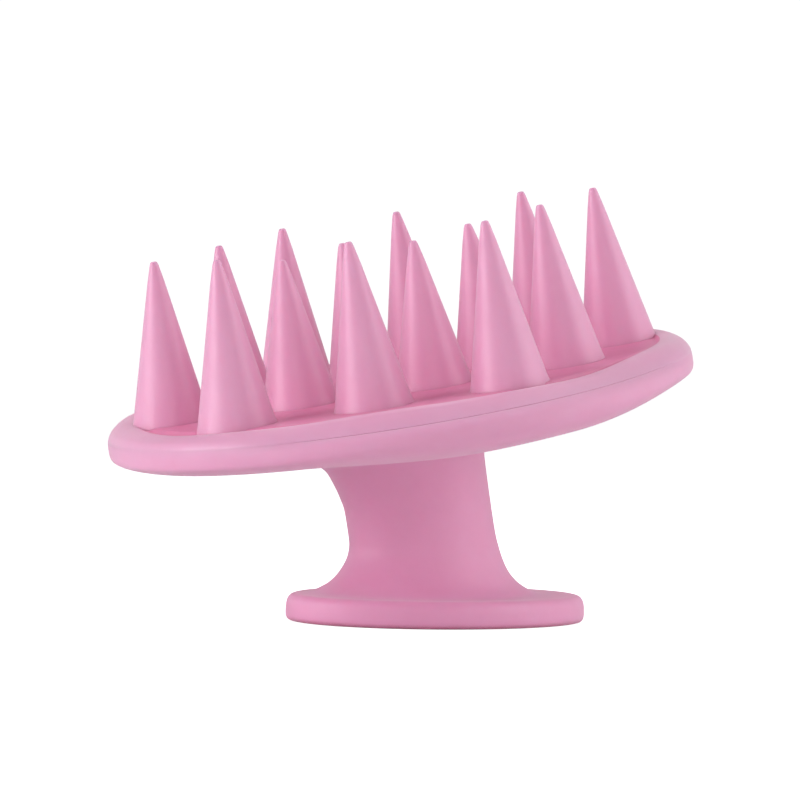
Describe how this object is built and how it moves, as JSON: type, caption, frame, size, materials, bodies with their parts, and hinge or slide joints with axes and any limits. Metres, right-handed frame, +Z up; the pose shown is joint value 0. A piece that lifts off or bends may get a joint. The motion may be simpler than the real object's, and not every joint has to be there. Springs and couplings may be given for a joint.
{
  "type": "scalp massager brush",
  "caption": "Hand-held oval scalp massager brush with flexible pointed cones on a tilted head, a short oval stem and a flat oval grip disc.",
  "frame": {"origin": "centre of the grip disc's flat underside", "axes": "+Z up out of the grip disc, +X along the head's long axis towards its raised end, +Y along the head's short axis"},
  "size_m": [0.0916, 0.0856, 0.0684],
  "materials": {
    "handle_silicone": "satin pink silicone",
    "pad_silicone": "smooth satin pink silicone",
    "cone_silicone": "smooth satin pink silicone",
    "core_plastic": "matt moulded"
  },
  "bodies": {
    "brush_body": {"grip_disc": "handle_silicone", "stem_core": "core_plastic", "stem_sleeve": "handle_silicone", "base_shell": "handle_silicone", "head_core": "core_plastic", "bristle_pad": "pad_silicone"},
    "cone_01_body": {"cone_01": "cone_silicone"},
    "cone_02_body": {"cone_02": "cone_silicone"},
    "cone_03_body": {"cone_03": "cone_silicone"},
    "cone_04_body": {"cone_04": "cone_silicone"},
    "cone_05_body": {"cone_05": "cone_silicone"},
    "cone_06_body": {"cone_06": "cone_silicone"},
    "cone_07_body": {"cone_07": "cone_silicone"},
    "cone_08_body": {"cone_08": "cone_silicone"},
    "cone_09_body": {"cone_09": "cone_silicone"},
    "cone_10_body": {"cone_10": "cone_silicone"},
    "cone_11_body": {"cone_11": "cone_silicone"},
    "cone_12_body": {"cone_12": "cone_silicone"},
    "cone_13_body": {"cone_13": "cone_silicone"},
    "cone_14_body": {"cone_14": "cone_silicone"}
  },
  "joints": [
    {"name": "cone_01_sway", "type": "hinge", "parent": "brush_body", "child": "cone_01_body", "pos_m": [-0.04242, -0.01013, 0.03002], "axis": [0, 1, 0], "range_deg": [-18, 18], "stiffness_Nm_per_rad": 0.006},
    {"name": "cone_02_sway", "type": "hinge", "parent": "brush_body", "child": "cone_02_body", "pos_m": [-0.04242, 0.01013, 0.03002], "axis": [0, 1, 0], "range_deg": [-18, 18], "stiffness_Nm_per_rad": 0.006},
    {"name": "cone_03_sway", "type": "hinge", "parent": "brush_body", "child": "cone_03_body", "pos_m": [-0.02521, -0.02025, 0.03343], "axis": [0, 1, 0], "range_deg": [-18, 18], "stiffness_Nm_per_rad": 0.006},
    {"name": "cone_04_sway", "type": "hinge", "parent": "brush_body", "child": "cone_04_body", "pos_m": [-0.02518, 0, 0.03329], "axis": [0, 1, 0], "range_deg": [-18, 18], "stiffness_Nm_per_rad": 0.006},
    {"name": "cone_05_sway", "type": "hinge", "parent": "brush_body", "child": "cone_05_body", "pos_m": [-0.02521, 0.02025, 0.03343], "axis": [0, 1, 0], "range_deg": [-18, 18], "stiffness_Nm_per_rad": 0.006},
    {"name": "cone_06_sway", "type": "hinge", "parent": "brush_body", "child": "cone_06_body", "pos_m": [-0.00807, -0.03037, 0.03712], "axis": [0, 1, 0], "range_deg": [-18, 18], "stiffness_Nm_per_rad": 0.006},
    {"name": "cone_07_sway", "type": "hinge", "parent": "brush_body", "child": "cone_07_body", "pos_m": [-0.00801, -0.01013, 0.03683], "axis": [0, 1, 0], "range_deg": [-18, 18], "stiffness_Nm_per_rad": 0.006},
    {"name": "cone_08_sway", "type": "hinge", "parent": "brush_body", "child": "cone_08_body", "pos_m": [-0.00801, 0.01013, 0.03683], "axis": [0, 1, 0], "range_deg": [-18, 18], "stiffness_Nm_per_rad": 0.006},
    {"name": "cone_09_sway", "type": "hinge", "parent": "brush_body", "child": "cone_09_body", "pos_m": [-0.00807, 0.03037, 0.03712], "axis": [0, 1, 0], "range_deg": [-18, 18], "stiffness_Nm_per_rad": 0.006},
    {"name": "cone_10_sway", "type": "hinge", "parent": "brush_body", "child": "cone_10_body", "pos_m": [0.00911, -0.02025, 0.04066], "axis": [0, 1, 0], "range_deg": [-18, 18], "stiffness_Nm_per_rad": 0.006},
    {"name": "cone_11_sway", "type": "hinge", "parent": "brush_body", "child": "cone_11_body", "pos_m": [0.00914, 0, 0.04052], "axis": [0, 1, 0], "range_deg": [-18, 18], "stiffness_Nm_per_rad": 0.006},
    {"name": "cone_12_sway", "type": "hinge", "parent": "brush_body", "child": "cone_12_body", "pos_m": [0.00911, 0.02025, 0.04066], "axis": [0, 1, 0], "range_deg": [-18, 18], "stiffness_Nm_per_rad": 0.006},
    {"name": "cone_13_sway", "type": "hinge", "parent": "brush_body", "child": "cone_13_body", "pos_m": [0.02622, -0.01013, 0.04449], "axis": [0, 1, 0], "range_deg": [-18, 18], "stiffness_Nm_per_rad": 0.006},
    {"name": "cone_14_sway", "type": "hinge", "parent": "brush_body", "child": "cone_14_body", "pos_m": [0.02622, 0.01013, 0.04449], "axis": [0, 1, 0], "range_deg": [-18, 18], "stiffness_Nm_per_rad": 0.006}
  ]
}
